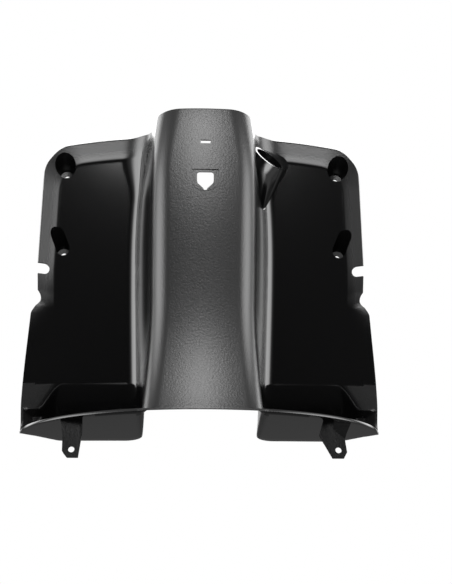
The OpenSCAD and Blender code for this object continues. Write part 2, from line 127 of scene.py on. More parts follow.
@dataclass
class Moulding:
    """Main form of the moulding: sizes and the depth of its rider's side.

    X runs to the rider's right, Z upwards, and depth towards the rider.
    """

    wall: float = 0.0025
    half_width: float = 0.196
    height: float = 0.300
    edge_rise: float = 0.0067
    rise_from: float = 0.044
    rise_span: float = 0.026
    edge_fall: float = 0.0095
    fall_from: float = 0.070
    fall_span: float = 0.085
    edge_power: float = 1.5
    rake: float = math.radians(20)
    rim_reach: float = 0.139
    floor_draft: float = math.radians(2.4)
    hump_half_w: float = 0.051
    hump_flare: float = 0.011
    hump_taper: float = 0.0055
    hump_mid_z: float = 0.165
    hump_curl: float = 0.52
    shoulder_r: float = 0.018
    shoulder_gain: float = 0.006
    foot_r: float = 0.012
    foot_r_gain: float = 0.6
    crest_r_gain: float = 1.7
    crest_z: float = 0.245
    foot_half_w: float = 0.0715
    foot_loss_low: float = 0.0055
    foot_loss_high: float = 0.010
    foot_mid_z: float = 0.180
    flare_z: float = 0.110
    flare_power: float = 1.5
    taper_z: float = 0.230
    flange_h: float = 0.007
    flange_w: float = 0.0175
    top_flange_w: float = 0.018
    corner_r: float = 0.024
    inner_corner_r: float = 0.024
    flange_r: float = 0.008
    flange_top_z: float = 0.190
    flange_foot_z: float = 0.085
    flange_max_x: float = 0.166
    toe_z: float = 0.057
    toe_depth: float = 0.050
    toe_straight: float = 0.35
    toe_half_w: float = 0.155
    toe_wing_z: float = 0.031
    toe_wing_half_w: float = 0.194
    toe_crease: float = 0.7
    toe_side_slope: float = 1.2
    toe_ledge_slope: float = 1.6
    wing_side_slope: float = 0.9
    wing_depth: float = 0.009
    toe_soft: float = 0.005
    toe_r: float = 0.014
    wing_taper: float = 0.009
    wing_from: float = 0.033
    wing_span: float = 0.087
    wing_power: float = 1.3
    waist_half_w: float = 0.1745
    waist_z: float = 0.144
    waist_blend: float = 0.016
    waist_gap: float = 0.002
    waist_dip: float = 0.008
    ear_half_w: float = 0.178
    ear_taper: float = 0.064
    notch_z: float = 0.174
    seat_depth: float = 0.079
    seat_z: float = 0.277
    least_span: float = 0.001
    least_slope: float = 0.01
    least_r: float = 1e-6
    sharp_below: float = 1e-4
    step_x: float = 0.0004
    step_z: float = 0.00005

    def outline_x(self, z: np.ndarray) -> np.ndarray:
        """Gives the half width of the outline.

        Args:
            z: Heights above the floor.

        Returns:
            The half width at each height.
        """
        taper = self.wing_taper * (above(z - self.wing_from) / self.wing_span) ** self.wing_power
        upper = self.upper_x(z)
        share = ease((z - self.waist_z + self.waist_blend) / (self.waist_blend - self.waist_gap))
        dip = above(1 - ((z - self.waist_z) / self.waist_dip) ** 2)
        return mix(self.half_width - taper, upper, share) - (self.ear_half_w - self.waist_half_w) * dip

    def upper_x(self, z: np.ndarray) -> np.ndarray:
        """Gives the half width of the upper part at a height."""
        return self.ear_half_w - self.ear_taper * above(z - self.notch_z)

    def top_z(self, x: np.ndarray) -> np.ndarray:
        """Gives the height of the top edge.

        Args:
            x: Distances from the centre plane.

        Returns:
            The height at each of them.
        """
        ax = np.abs(x)
        rise = self.edge_rise * ease((ax - self.rise_from) / self.rise_span)
        fall = self.edge_fall * (above(ax - self.fall_from) / self.fall_span) ** self.edge_power
        return self.height + rise - fall

    def raked(self, z: np.ndarray) -> np.ndarray:
        """Gives the depth of the well wall's plane."""
        return z * math.tan(self.rake)

    def rim_z(self, x: np.ndarray) -> np.ndarray:
        """Gives the height of the floor's front edge."""
        depth = self.rim_reach * np.sqrt(above(1 - (x / self.half_width) ** 2))
        return (self.rim_reach - depth) * math.tan(self.floor_draft)

    def hump_front(self, x: np.ndarray, z: np.ndarray) -> np.ndarray:
        """Gives the depth of the hump's face.

        Args:
            x: Distances from the centre plane.
            z: Heights above the floor.

        Returns:
            The depth, as if the face had no shoulders.
        """
        crown = x * x * self.rim_reach / (2 * self.half_width**2)
        m = self.hump_mid_z
        curl = self.hump_curl / (3 * m * m) * ((z - m) ** 3 + m**3)
        return self.rim_reach + self.raked(z) - crown - curl

    def shoulder_x(self, z: np.ndarray) -> np.ndarray:
        """Gives the half width of the hump's face.

        Args:
            z: Heights above the floor.

        Returns:
            The half width at each height.
        """
        flare = self.hump_flare * (above(self.flare_z - z) / self.flare_z) ** self.flare_power
        loss = self.hump_taper * (above(z - self.taper_z) / (self.height - self.taper_z)) ** 2
        return self.hump_half_w + flare - loss

    def shoulder_round(self, z: np.ndarray) -> np.ndarray:
        """Gives the radius of the hump's shoulders, larger towards the top."""
        return self.shoulder_r + self.shoulder_gain * ease((z - self.taper_z) / (self.height - self.taper_z))

    def foot_round(self, z: np.ndarray) -> np.ndarray:
        """Gives the radius at the hump's foot, larger at the floor and at the top.

        Args:
            z: Heights above the floor.

        Returns:
            The radius at each height.
        """
        low = self.foot_r_gain * above(1 - z / self.toe_z)
        high = self.crest_r_gain * ease((z - self.crest_z) / (self.height - self.crest_z))
        return self.foot_r * (1 + low + high)

    def foot_x(self, z: np.ndarray) -> np.ndarray:
        """Gives the half width of the hump where it meets the wells.

        Args:
            z: Heights above the floor.

        Returns:
            The half width at each height.
        """
        m = self.foot_mid_z
        low = self.foot_loss_low * ((m - z) / m) ** 2
        high = self.foot_loss_high * ((z - m) / (self.height - m)) ** 2
        return self.foot_half_w - np.where(z < m, low, high)

    def toe_back(self, z: np.ndarray) -> np.ndarray:
        """Gives how far the toe boxes' back walls fall behind the well wall."""
        t = above(self.toe_z - z) / self.toe_z
        return self.toe_depth * t * mix(t, 1, self.toe_straight)

    def toe_fall(self, x: np.ndarray, z: np.ndarray) -> np.ndarray:
        """Gives the fall of the toe boxes, side walls and wing ledges included.

        Args:
            x: Distances from the centre plane.
            z: Heights above the floor.

        Returns:
            How far the surface lies behind the well wall's plane.
        """
        ax = np.abs(x)
        side = (self.toe_half_w + (self.toe_z - z) * self.toe_crease - ax) * self.toe_side_slope
        ledge = (self.toe_wing_z - z) * self.toe_ledge_slope
        outer = (self.toe_wing_half_w - ax) * self.wing_side_slope
        wing = np.minimum(np.minimum(ledge, outer), self.wing_depth)
        return above(soft_min(self.toe_back(z), soft_max(side, wing, self.toe_soft), self.toe_soft))

    def flange_rise(self, x: np.ndarray, z: np.ndarray) -> np.ndarray:
        """Gives the rise of the outer and top walls in front of the well wall.

        Args:
            x: Distances from the centre plane.
            z: Heights above the floor.

        Returns:
            How far the surface lies in front of the well wall.
        """
        ax = np.abs(x)
        xi = np.minimum(self.upper_x(above(z)) - self.flange_w, self.flange_max_x)
        zo = self.top_z(x)
        zi = zo - self.top_flange_w
        inside = self.corner(ax - xi, z - zi, self.inner_corner_r)
        outside = -self.corner(ax - self.outline_x(z), z - zo, self.corner_r)
        rise = self.flange_h * ease((z - self.flange_foot_z) / (self.flange_top_z - self.flange_foot_z))
        slope = np.maximum(rise / np.maximum(inside + outside, self.least_span), self.least_slope)
        return fillet_max(0 * ax, inside * slope, slope, self.flange_r)

    @staticmethod
    def corner(dx: np.ndarray, dz: np.ndarray, radius: float) -> np.ndarray:
        """Gives the distance outside a round corner.

        Args:
            dx: Distance beyond the corner's upright side.
            dz: Distance beyond the corner's level side.
            radius: Radius of the corner.

        Returns:
            The distance, negative inside.
        """
        ex, ez = dx + radius, dz + radius
        both = (ex > 0) & (ez > 0)
        return np.where(both, np.hypot(ex, ez), np.maximum(ex, ez)) - radius

    def depth(self, x: np.ndarray, z: np.ndarray) -> np.ndarray:
        """Gives the depth of the whole rider's side.

        Args:
            x: Distances from the centre plane.
            z: Heights above the floor.

        Returns:
            The depth, with hump, wells, walls and toe boxes joined.
        """
        ax = np.abs(x)
        floor_slope = 1 / math.tan(self.floor_draft)
        shoulder_x = self.shoulder_x(z)
        shoulder = self.hump_front(shoulder_x, z)
        slope = (shoulder - self.raked(z) + self.toe_back(z)) / (self.foot_x(z) - shoulder_x)
        side = shoulder - (ax - shoulder_x) * slope
        face = fillet_min(self.hump_front(x, z), side, slope, self.shoulder_round(z))
        hump = np.where(ax < shoulder_x + self.shoulder_r, face, side)
        back = self.raked(z) - self.toe_fall(x, z)
        well = fillet_max(back, self.rim_reach - z * floor_slope, floor_slope, self.toe_r)
        well = well + self.flange_rise(x, z)
        radius = np.minimum(self.foot_round(z), above(shoulder - well) / 2)
        joined = fillet_max(well, hump, slope, np.maximum(radius, self.least_r))
        return np.where(radius < self.sharp_below, np.maximum(well, hump), joined)

    def behind(self, x: np.ndarray, z: np.ndarray, distance: float) -> np.ndarray:
        """Places points at a distance behind the rider's side.

        Args:
            x: Distances from the centre plane.
            z: Heights above the floor.
            distance: Distance behind the surface, along its normal.

        Returns:
            Points in the part's own frame, one row each.
        """
        hx, hz = self.step_x, self.step_z
        gx = (self.depth(x + hx, z) - self.depth(x - hx, z)) / (2 * hx)
        gz = (self.depth(x, z + hz) - self.depth(x, z - hz)) / (2 * hz)
        size = np.sqrt(gx**2 + 1 + gz**2)
        return np.stack(
            [
                x + distance * gx / size,
                self.seat_depth - self.depth(x, z) + distance / size,
                z + distance * gz / size - self.seat_z,
            ],
            axis=-1,
        )

    def place(self, x: float, depth: float, z: float) -> Vector:
        """Gives a point of the part's own frame from width, depth and height."""
        return Vector((x, self.seat_depth - depth, z - self.seat_z))


@dataclass
class Skin:
    """Grid of columns and rows that covers the moulding."""

    form: Moulding
    counts: tuple[int, ...] = (16, 14, 12, 10, 32, 26)
    floor_rows: int = 12
    fillet_rows: int = 9
    floor_top: float = 0.0074
    fillet_gap: float = 0.001
    foot_share: float = 0.8
    wall_rows: tuple[tuple[float, int], ...] = (
        (0.060, 24), (0.124, 34), (0.184, 46), (0.270, 44), (0.300, 24),
    )

    def columns(self, z: np.ndarray) -> np.ndarray:
        """Gives the columns' half widths, from the centre outwards.

        Args:
            z: Heights above the floor.

        Returns:
            Half widths by column and height.
        """
        f = self.form
        s, foot = f.shoulder_x(z), f.foot_x(z)
        inner = np.minimum(f.upper_x(above(z)) - f.flange_w, f.flange_max_x) - f.flange_r / 2
        turn_r, reach = f.shoulder_round(z), np.maximum(f.foot_r, self.foot_share * f.foot_round(z))
        n = self.counts
        parts = [np.zeros((1, len(z)))]

        def run(a: np.ndarray, b: np.ndarray, count: int, turn: int = 0) -> None:
            """Adds columns between two half widths.

            Args:
                a: Half widths where they start.
                b: Half widths where they end.
                count: Number of columns.
                turn: 1 to crowd them at the end, -1 at the start.
            """
            t = np.arange(1, count + 1)[:, None] / count
            t = np.sin(t * math.pi / 2) if turn > 0 else 1 - np.cos(t * math.pi / 2) if turn < 0 else t
            parts.append(mix(a, b, t))

        run(0 * s, s - turn_r, n[0])
        run(s - turn_r, s, n[1], 1)
        run(s, foot, n[2])
        run(foot, foot + reach, n[3], -1)
        run(foot + reach, inner, n[4])
        run(inner, f.outline_x(z), n[5])
        return np.concatenate(parts)

    def rows(self, x: np.ndarray) -> np.ndarray:
        """Gives the rows' heights, from the floor's edge upwards.

        Args:
            x: Distances from the centre plane.

        Returns:
            Heights by row and distance.
        """
        f = self.form
        t = np.arange(0, self.floor_rows + 1)[:, None] / self.floor_rows
        rows = [mix(f.rim_z(x), self.floor_top, t)]
        t = np.arange(1, self.fillet_rows + 1)[:, None] / self.fillet_rows
        turn = f.toe_r + self.fillet_gap
        rows.append(self.floor_top + turn * (1 - np.cos(t * math.pi / 2)) + 0 * x)
        low = self.floor_top + turn
        for high, count in self.wall_rows:
            t = np.arange(1, count + 1)[:, None] / count
            rows.append(mix(low, high, t) * f.top_z(x) / f.height)
            low = high
        return np.concatenate(rows)

    def grid(self, distance: float) -> np.ndarray:
        """Places the grid's points at a distance behind the rider's side.

        Args:
            distance: Distance behind the surface.

        Returns:
            Points by row, column and axis.
        """
        f = self.form
        probe = self.rows(np.array([f.half_width]))[:, 0]
        x0 = self.columns(probe)
        z0 = np.stack([self.rows(x0[:, j])[j] for j in range(len(probe))], axis=1)
        cols = len(x0)
        x1 = np.stack([self.columns(z0[i])[i] for i in range(cols)])
        edge = f.outline_x(z0)
        p = np.clip((x1 - edge) / f.corner_r + 1, 0, 1)
        q = np.clip((z0 - f.top_z(x1)) / f.corner_r + 1, 0, 1)
        both = (p > 0) & (q > 0)
        x = np.where(both, edge - f.corner_r * (1 - p * np.sqrt(1 - q * q / 2)), x1)
        z = np.where(both, f.top_z(x1) - f.corner_r * (1 - q * np.sqrt(1 - p * p / 2)), z0)
        right = f.behind(x, z, distance).transpose(1, 0, 2)
        left = right[:, :0:-1] * np.array([-1, 1, 1])
        return np.concatenate([left, right], axis=1)


def clear_selection() -> None:
    """Deselects everything, so that an operator acts on one piece only."""
    if bpy.context.object and bpy.context.object.mode != "OBJECT":
        bpy.ops.object.mode_set(mode="OBJECT")
    bpy.ops.object.select_all(action="DESELECT")


def make_active(piece: bpy.types.Object) -> None:
    """Selects one piece and makes it active.

    Args:
        piece: The piece.
    """
    clear_selection()
    piece.select_set(True)
    bpy.context.view_layer.objects.active = piece


def closed_between(name: str, front: np.ndarray, back: np.ndarray) -> bpy.types.Object:
    """Closes the space between two grids of points.

    The compound curves of the moulding are beyond the operators, so this one
    mesh is made from its points.

    Args:
        name: Name of the new object.
        front: Points on the rider's side, by row, column and axis.
        back: Points behind them.

    Returns:
        The closed object.
    """
    rows, cols = front.shape[:2]
    at = np.arange(rows * cols).reshape(rows, cols)
    far = at + rows * cols

    def quads(a: np.ndarray, b: np.ndarray, c: np.ndarray, d: np.ndarray) -> np.ndarray:
        """Gives the quads whose corners are these four grids of points."""
        return np.stack([a.ravel(), b.ravel(), c.ravel(), d.ravel()], axis=1)

    faces = np.concatenate([
        quads(at[:-1, :-1], at[:-1, 1:], at[1:, 1:], at[1:, :-1]),
        quads(far[:-1, :-1], far[1:, :-1], far[1:, 1:], far[:-1, 1:]),
        quads(at[0, :-1], far[0, :-1], far[0, 1:], at[0, 1:]),
        quads(at[-1, 1:], far[-1, 1:], far[-1, :-1], at[-1, :-1]),
        quads(at[1:, 0], far[1:, 0], far[:-1, 0], at[:-1, 0]),
        quads(at[:-1, -1], far[:-1, -1], far[1:, -1], at[1:, -1]),
    ])
    mesh = bpy.data.meshes.new(name)
    points = np.concatenate([front.reshape(-1, 3), back.reshape(-1, 3)])
    mesh.from_pydata(points.tolist(), [], faces.tolist())
    mesh.update()
    made = bpy.data.objects.new(name, mesh)
    bpy.context.collection.objects.link(made)
    return made


def work_in(piece: bpy.types.Object, tool: bpy.types.Object, cut: Cut) -> None:
    """Works one solid into another and removes it.

    Args:
        piece: Solid that is changed.
        tool: Solid that is added, taken away or kept.
        cut: What is done.
    """
    make_active(piece)
    bpy.ops.object.modifier_add(type="BOOLEAN")
    made = piece.modifiers[-1]
    made.object = tool
    made.operation = cut.value
    made.solver = "MANIFOLD"
    bpy.ops.object.modifier_apply(modifier=made.name)
    bpy.data.objects.remove(tool, do_unlink=True)


def cone_along(
    name: str, foot: Vector, axis: Vector, sizes: tuple[float, float, float], sides: int = 96
) -> bpy.types.Object:
    """Adds a cone or a cylinder whose foot and axis are given.

    Args:
        name: Name of the new object.
        foot: Middle of its foot.
        axis: Direction from its foot to its top.
        sizes: Radius at the foot, radius at the top, and length.
        sides: Number of sides.

    Returns:
        The cone, with its place in its mesh.
    """
    axis = axis.normalized()
    clear_selection()
    bpy.ops.mesh.primitive_cone_add(
        vertices=sides,
        radius1=sizes[0],
        radius2=sizes[1],
        depth=sizes[2],
        location=foot + axis * sizes[2] / 2,
        rotation=axis.to_track_quat("Z", "Y").to_euler(),
    )
    return settled(name)


def settled(name: str) -> bpy.types.Object:
    """Names the active piece and puts its place into its mesh.

    Args:
        name: Name of the piece and its mesh.

    Returns:
        The piece.
    """
    piece = bpy.context.object
    piece.name = piece.data.name = name
    bpy.ops.object.transform_apply(location=True, rotation=True, scale=True)
    return piece


def prism(name: str, outline: list[tuple[float, float]], low: float, high: float) -> bpy.types.Object:
    """Extrudes an outline of the XZ plane along Y.

    Args:
        name: Name of the new object.
        outline: Corners as X and Z, anticlockwise seen from the rider.
        low: Y of the end on the rider's side.
        high: Y of the far end.

    Returns:
        The prism.
    """
    mesh = bpy.data.meshes.new(name)
    mesh.from_pydata([(x, low, z) for x, z in outline], [], [list(range(len(outline)))])
    made = bpy.data.objects.new(name, mesh)
    bpy.context.collection.objects.link(made)
    make_active(made)
    bpy.ops.object.mode_set(mode="EDIT")
    bpy.ops.mesh.select_all(action="SELECT")
    bpy.ops.mesh.extrude_region_move(TRANSFORM_OT_translate={"value": (0, high - low, 0)})
    bpy.ops.mesh.select_all(action="SELECT")
    bpy.ops.mesh.normals_make_consistent(inside=False)
    bpy.ops.object.mode_set(mode="OBJECT")
    return made


def hull_of(name: str, pieces: list[bpy.types.Object]) -> bpy.types.Object:
    """Joins pieces and stretches one convex skin over them.

    Args:
        name: Name of the new object.
        pieces: Pieces to cover; they are used up.

    Returns:
        The convex piece.
    """
    clear_selection()
    for piece in pieces:
        piece.select_set(True)
    bpy.context.view_layer.objects.active = pieces[0]
    bpy.ops.object.join()
    bpy.ops.object.mode_set(mode="EDIT")
    bpy.ops.mesh.select_all(action="SELECT")
    bpy.ops.mesh.convex_hull()
    bpy.ops.object.mode_set(mode="OBJECT")
    return settled(name)


def ball(at: Vector, radius: float) -> bpy.types.Object:
    """Adds a ball.

    Args:
        at: Its middle.
        radius: Its radius.

    Returns:
        The ball.
    """
    clear_selection()
    bpy.ops.mesh.primitive_uv_sphere_add(segments=48, ring_count=24, radius=radius, location=at)
    return settled("ball")


@dataclass
class ScrewCups:
    """Recessed seats of the four screws."""

    form: Moulding
    floor_r: float = 0.0075
    hole_r: float = 0.003
    draft: float = math.radians(8.5)
    tilt: float = math.radians(5)
    upper: Point = (0.149, 0.079, 0.277)
    lower: Point = (0.152, 0.050, 0.1965)
    length: float = 0.045
    span: float = 0.080
    mouth: float = 0.042
    shift: float = 0.008
    rise: float = 0.020
    disc_t: float = 0.001

    def upper_cup(self, side: int, extra: float) -> bpy.types.Object:
        """Makes an upper cup, grown by a wall.

        Args:
            side: 1 on the rider's right, -1 on the left.
            extra: Wall added all round.

        Returns:
            The drafted cone.
        """
        x, depth, z = self.upper
        tangent = math.tan(self.draft)
        radius = self.floor_r + extra
        low = -extra - radius * math.tan(self.tilt)
        axis = Vector((0, -math.cos(self.tilt), math.sin(self.tilt)))
        floor = self.form.place(side * x, depth, z)
        sizes = (radius + low * tangent, radius + self.length * tangent, self.length - low)
        cup = cone_along("cup", floor + axis * low, axis, sizes)
        clear_selection()
        bpy.ops.mesh.primitive_cube_add(size=self.span, location=floor + RIDER * (self.span / 2 - extra))
        work_in(cup, settled("front"), Cut.KEEP)
        return cup

    def lower_cup(self, side: int, extra: float) -> bpy.types.Object:
        """Makes a lower cup, whose mouth is drawn out upwards.

        Args:
            side: 1 on the rider's right, -1 on the left.
            extra: Wall added all round.

        Returns:
            The convex cup.
        """
        x, depth, z = self.lower
        radius = self.floor_r + extra
        ends = [(0.0, 0.0, -extra), (0.0, 0.0, self.mouth), (self.shift, self.rise, self.mouth)]
        sizes = (radius, radius, self.disc_t)
        feet = [self.form.place(side * (x + dx), depth + along, z + dz) for dx, dz, along in ends]
        discs = [cone_along("disc", foot, RIDER, sizes, 64) for foot in feet]
        return hull_of("cup", discs)

    def build(self, shell: bpy.types.Object, backing: bpy.types.Object) -> None:
        """Adds the four cups to the shell and opens them.

        Args:
            shell: The moulding.
            backing: Everything behind the middle of its wall.
        """
        for side in (-1, 1):
            for make in (self.upper_cup, self.lower_cup):
                body = make(side, self.form.wall)
                keep = backing.copy()
                keep.data = backing.data.copy()
                bpy.context.collection.objects.link(keep)
                work_in(body, keep, Cut.KEEP)
                work_in(shell, body, Cut.ADD)
        for side in (-1, 1):
            for make, at in ((self.upper_cup, self.upper), (self.lower_cup, self.lower)):
                work_in(shell, make(side, 0.0), Cut.TAKE)
                foot = self.form.place(side * at[0], at[1] - 2 * self.form.wall, at[2])
                sizes = (self.hole_r, self.hole_r, 3 * self.form.wall)
                work_in(shell, cone_along("hole", foot, RIDER, sizes, 48), Cut.TAKE)
        LOG.info("screw cups: 4")


@dataclass
class LockBoss:
    """Ring for the steering lock, on a fairing that swells out of the hump."""

    form: Moulding
    mouth: Point = (0.070, 0.150, 0.270)
    outer_r: float = 0.019
    bore_r: float = 0.016
    length: float = 0.012
    turn: float = math.radians(44)
    tilt: float = math.radians(36)
    tail: Point = (0.064, 0.110, 0.235)
    tail_r: float = 0.006
    top: Point = (0.085, 0.100, 0.286)
    top_r: float = 0.010
    reach: float = 0.060
    ring_t: float = 0.001
    bore_behind: float = 0.003
    bore_ahead: float = 0.001

    def axis(self) -> Vector:
        """Gives the direction in which the lock's mouth looks."""
        level = math.cos(self.tilt)
        return Vector((level * math.sin(self.turn), -level * math.cos(self.turn), math.sin(self.tilt)))

    def covered(
        self, ring_r: float, less: float, start: float, length: float, shifts: tuple[float, ...]
    ) -> bpy.types.Object:
        """Makes the convex body of the fairing.

        Args:
            ring_r: Radius of its ring.
            less: Wall taken off its balls.
            start: Place of the ring's rear face along the lock's axis.
            length: Length of the ring.
            shifts: Distances to the rear at which the body is repeated.

        Returns:
            The body.
        """
        parts = []
        for shift in shifts:
            back = Vector((0, shift, 0))
            foot = self.form.place(*self.mouth) + self.axis() * start + back
            parts.append(cone_along("ring", foot, self.axis(), (ring_r, ring_r, length)))
            parts.append(ball(self.form.place(*self.tail) + back, self.tail_r - less))
            parts.append(ball(self.form.place(*self.top) + back, self.top_r - less))
        return hull_of("fairing", parts)

    def build(self, shell: bpy.types.Object) -> None:
        """Adds the boss to the shell, hollows it and opens its bore.

        Args:
            shell: The moulding.
        """
        wall = self.form.wall
        work_in(shell, self.covered(self.outer_r, 0.0, -self.length, self.length, (0.0,)), Cut.ADD)
        start = -self.length - self.ring_t
        hollow = self.covered(self.outer_r - wall, wall, start, self.ring_t, (0.0, self.reach))
        work_in(shell, hollow, Cut.TAKE)
        foot = self.form.place(*self.mouth) - self.axis() * (self.length + self.bore_behind)
        sizes = (self.bore_r, self.bore_r, self.length + self.bore_behind + self.bore_ahead)
        work_in(shell, cone_along("bore", foot, self.axis(), sizes), Cut.TAKE)
        LOG.info("lock boss: bore of %.1f mm", 2000 * self.bore_r)


@dataclass
class HookRecess:
    """Shield-shaped recess with the bag hook's opening, and the slot above it."""

    form: Moulding
    x: float = 0.0007
    z: float = 0.236
    width: float = 0.027
    drop: float = 0.022
    border: float = 0.005
    nib_past: float = 0.0008
    floor_depth: float = 0.0011
    groove_depth: float = 0.0021
    groove_w: float = 0.0014
    side: float = 0.014
    arc_steps: int = 40
    patch_half_w: float = 0.03
    patch_past: float = 0.01
    in_front: float = 0.015
    behind: float = 0.02
    slot_w: float = 0.010
    slot_h: float = 0.0036
    slot_z: float = 0.264
    opening: tuple[tuple[float, float], ...] = (
        (0.76, 0.0), (0.93, 0.04), (1.0, 0.11), (1.0, 0.5),
        (0.9, 0.64), (0.54, 0.78), (0.26, 0.9), (0.15, 1.0),
    )

    def recess_outline(self, grow: float) -> list[tuple[float, float]]:
        """Gives the recess's outline: straight top, upright sides, round foot.

        Args:
            grow: Distance by which it is grown all round.

        Returns:
            Corners as X and Z.
        """
        half = self.width / 2 + grow
        side, drop = self.side, self.drop + grow
        arc = [
            (half * math.cos(a), -side - (drop - side) * math.sin(a))
            for a in (math.pi * k / self.arc_steps for k in range(self.arc_steps + 1))
        ]
        outline = [(-half, grow), *((x, z) for x, z in reversed(arc)), (half, grow)]
        return [(self.x + x, self.z - self.form.seat_z + z) for x, z in outline]

    def opening_outline(self) -> list[tuple[float, float]]:
        """Gives the outline of the hook's opening, with its nib below.

        Returns:
            Corners as X and Z.
        """
        half = self.width / 2 - self.border
        top = self.border / 2
        tall = self.drop - self.border / 2 + self.nib_past - top
        right = [(x * half, -top - z * tall) for x, z in self.opening]
        outline = [(-x, z) for x, z in right] + right[::-1]
        return [(self.x + x, self.z - self.form.seat_z + z) for x, z in outline]

    def build(self, shell: bpy.types.Object) -> None:
        """Cuts the recess with its groove, the opening and the slot into the hump.

        Args:
            shell: The moulding.
        """
        form = self.form
        x = np.linspace(-self.patch_half_w, self.patch_half_w, 41)
        z = np.linspace(self.z - self.drop - self.patch_past, self.z + self.patch_past, 31)
        grid_x, grid_z = np.meshgrid(x, z)
        for deep, inner in ((self.floor_depth, 0.0), (self.groove_depth, self.groove_w)):
            floor = form.behind(grid_x, grid_z, deep)
            front = floor.copy()
            front[..., 1] = floor[..., 1].min() - self.behind
            low, high = floor[..., 1].min() - self.in_front, floor[..., 1].max() + self.behind
            recess = prism("recess", self.recess_outline(0.0), low, high)
            if inner:
                island = prism("island", self.recess_outline(-inner), low - inner, high + inner)
                work_in(recess, island, Cut.TAKE)
            work_in(recess, closed_between("above_floor", front, floor), Cut.KEEP)
            work_in(shell, recess, Cut.TAKE)
        work_in(shell, prism("opening", self.opening_outline(), low, high), Cut.TAKE)
        w, h, z_mid = self.slot_w / 2, self.slot_h / 2, self.slot_z - form.seat_z
        corners = [(self.x + a, z_mid + b) for a, b in ((-w, h), (-w, -h), (w, -h), (w, h))]
        work_in(shell, prism("slot", corners, low - self.behind, high), Cut.TAKE)
        LOG.info("hook recess and slot cut")


@dataclass
class SideNotches:
    """Notches in the outer walls with a round inner end."""

    form: Moulding
    depth: float = 0.012
    height: float = 0.011
    z: float = 0.174
    past: float = 0.21
    low: float = -0.12
    high: float = 0.08
    arc_steps: int = 24

    def build(self, shell: bpy.types.Object) -> None:
        """Cuts both notches.

        Args:
            shell: The moulding.
        """
        radius = self.height / 2
        for side in (-1, 1):
            inner = self.form.ear_half_w - self.depth + radius
            arc = [
                (inner - radius * math.cos(a), self.z + radius * math.sin(a))
                for a in (math.pi * (k / self.arc_steps - 0.5) for k in range(self.arc_steps + 1))
            ]
            ends = [(self.past, self.z + radius), (self.past, self.z - radius)]
            outline = [(side * x, z - self.form.seat_z) for x, z in [*arc, *ends]]
            work_in(shell, prism("notch", outline, self.low, self.high), Cut.TAKE)
        LOG.info("side notches: 2")


@dataclass
class FixingTabs:
    """The two screw tabs below the floor, and the right one's brace."""

    form: Moulding
    thick: float = 0.003
    depth: float = 0.086
    hole_r: float = 0.00325
    hole_drop: float = 0.0315
    left_x: float = -0.134
    right_x: float = 0.141
    left: tuple[tuple[float, float], ...] = (
        (-0.0125, 0.001), (-0.0095, -0.017), (-0.0095, -0.033), (-0.008, -0.0356),
        (-0.0043, -0.04), (0.007, -0.04), (0.0105, -0.0145), (0.0105, 0.001),
    )
    right: tuple[tuple[float, float], ...] = (
        (-0.0145, 0.001), (-0.0196, -0.016), (-0.0063, -0.04), (0.0055, -0.04),
        (0.0088, -0.0338), (0.007, -0.02), (-0.005, -0.009), (-0.0035, 0.001),
    )
    brace: tuple[tuple[float, float, float], ...] = (
        (-0.003, 0.0, -0.02), (0.007, 0.0, -0.02), (-0.005, 0.0, -0.009),
        (0.01, 0.0055, -0.012), (-0.004, 0.0, 0.001), (0.016, 0.011, 0.001),
    )

    def build(self, shell: bpy.types.Object) -> None:
        """Adds both tabs and the brace, then drills the tabs.

        Args:
            shell: The moulding.
        """
        low = self.form.seat_depth - self.depth - self.thick / 2
        high = low + self.thick
        for x, outline in ((self.left_x, self.left), (self.right_x, self.right)):
            corners = [(x + a, b - self.form.seat_z) for a, b in outline]
            work_in(shell, prism("tab", corners, low, high), Cut.ADD)
        points = [(self.right_x + a, low + b, c - self.form.seat_z) for a, b, c in self.brace]
        front = np.array(points).reshape(3, 2, 3)
        work_in(shell, closed_between("brace", front, front + np.array([0, self.thick, 0])), Cut.ADD)
        for x in (self.left_x, self.right_x):
            foot = self.form.place(x, self.depth - self.thick, -self.hole_drop)
            sizes = (self.hole_r, self.hole_r, 2 * self.thick)
            work_in(shell, cone_along("hole", foot, RIDER, sizes, 48), Cut.TAKE)
        LOG.info("fixing tabs: 2")


